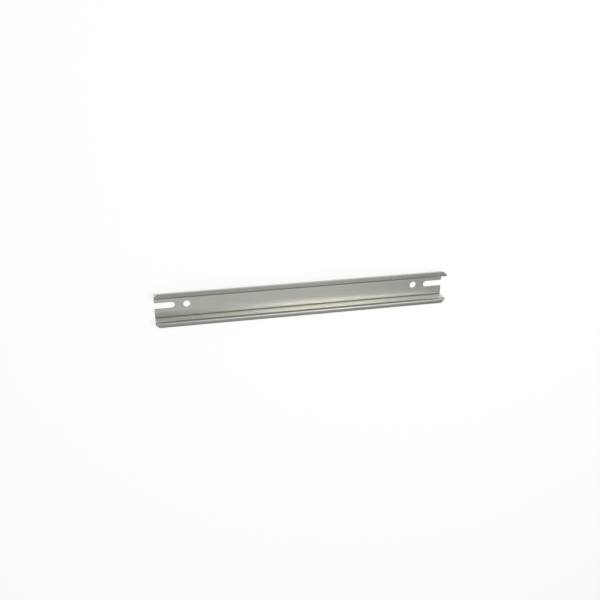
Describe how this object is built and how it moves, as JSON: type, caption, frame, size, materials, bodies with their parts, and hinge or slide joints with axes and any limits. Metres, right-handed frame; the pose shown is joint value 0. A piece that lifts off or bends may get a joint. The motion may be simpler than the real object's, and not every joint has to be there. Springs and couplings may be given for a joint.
{
  "type": "din rail",
  "caption": "Top-hat mounting rail of roll-formed galvanised steel strip, with a round screw hole and an open screw slot at each end.",
  "frame": {"origin": "centre of the flat back face of the web, which lies on the panel or the floor", "axes": "+X along the rail, +Y across its width, +Z out of the web towards the open side and the lips"},
  "size_m": [0.3, 0.035, 0.015],
  "materials": {
    "zinc_coated_steel": "bright zinc-coated strip, satin, with faint rolling streaks along the rail"
  },
  "bodies": {
    "root": {"rail": "zinc_coated_steel"}
  },
  "joints": []
}
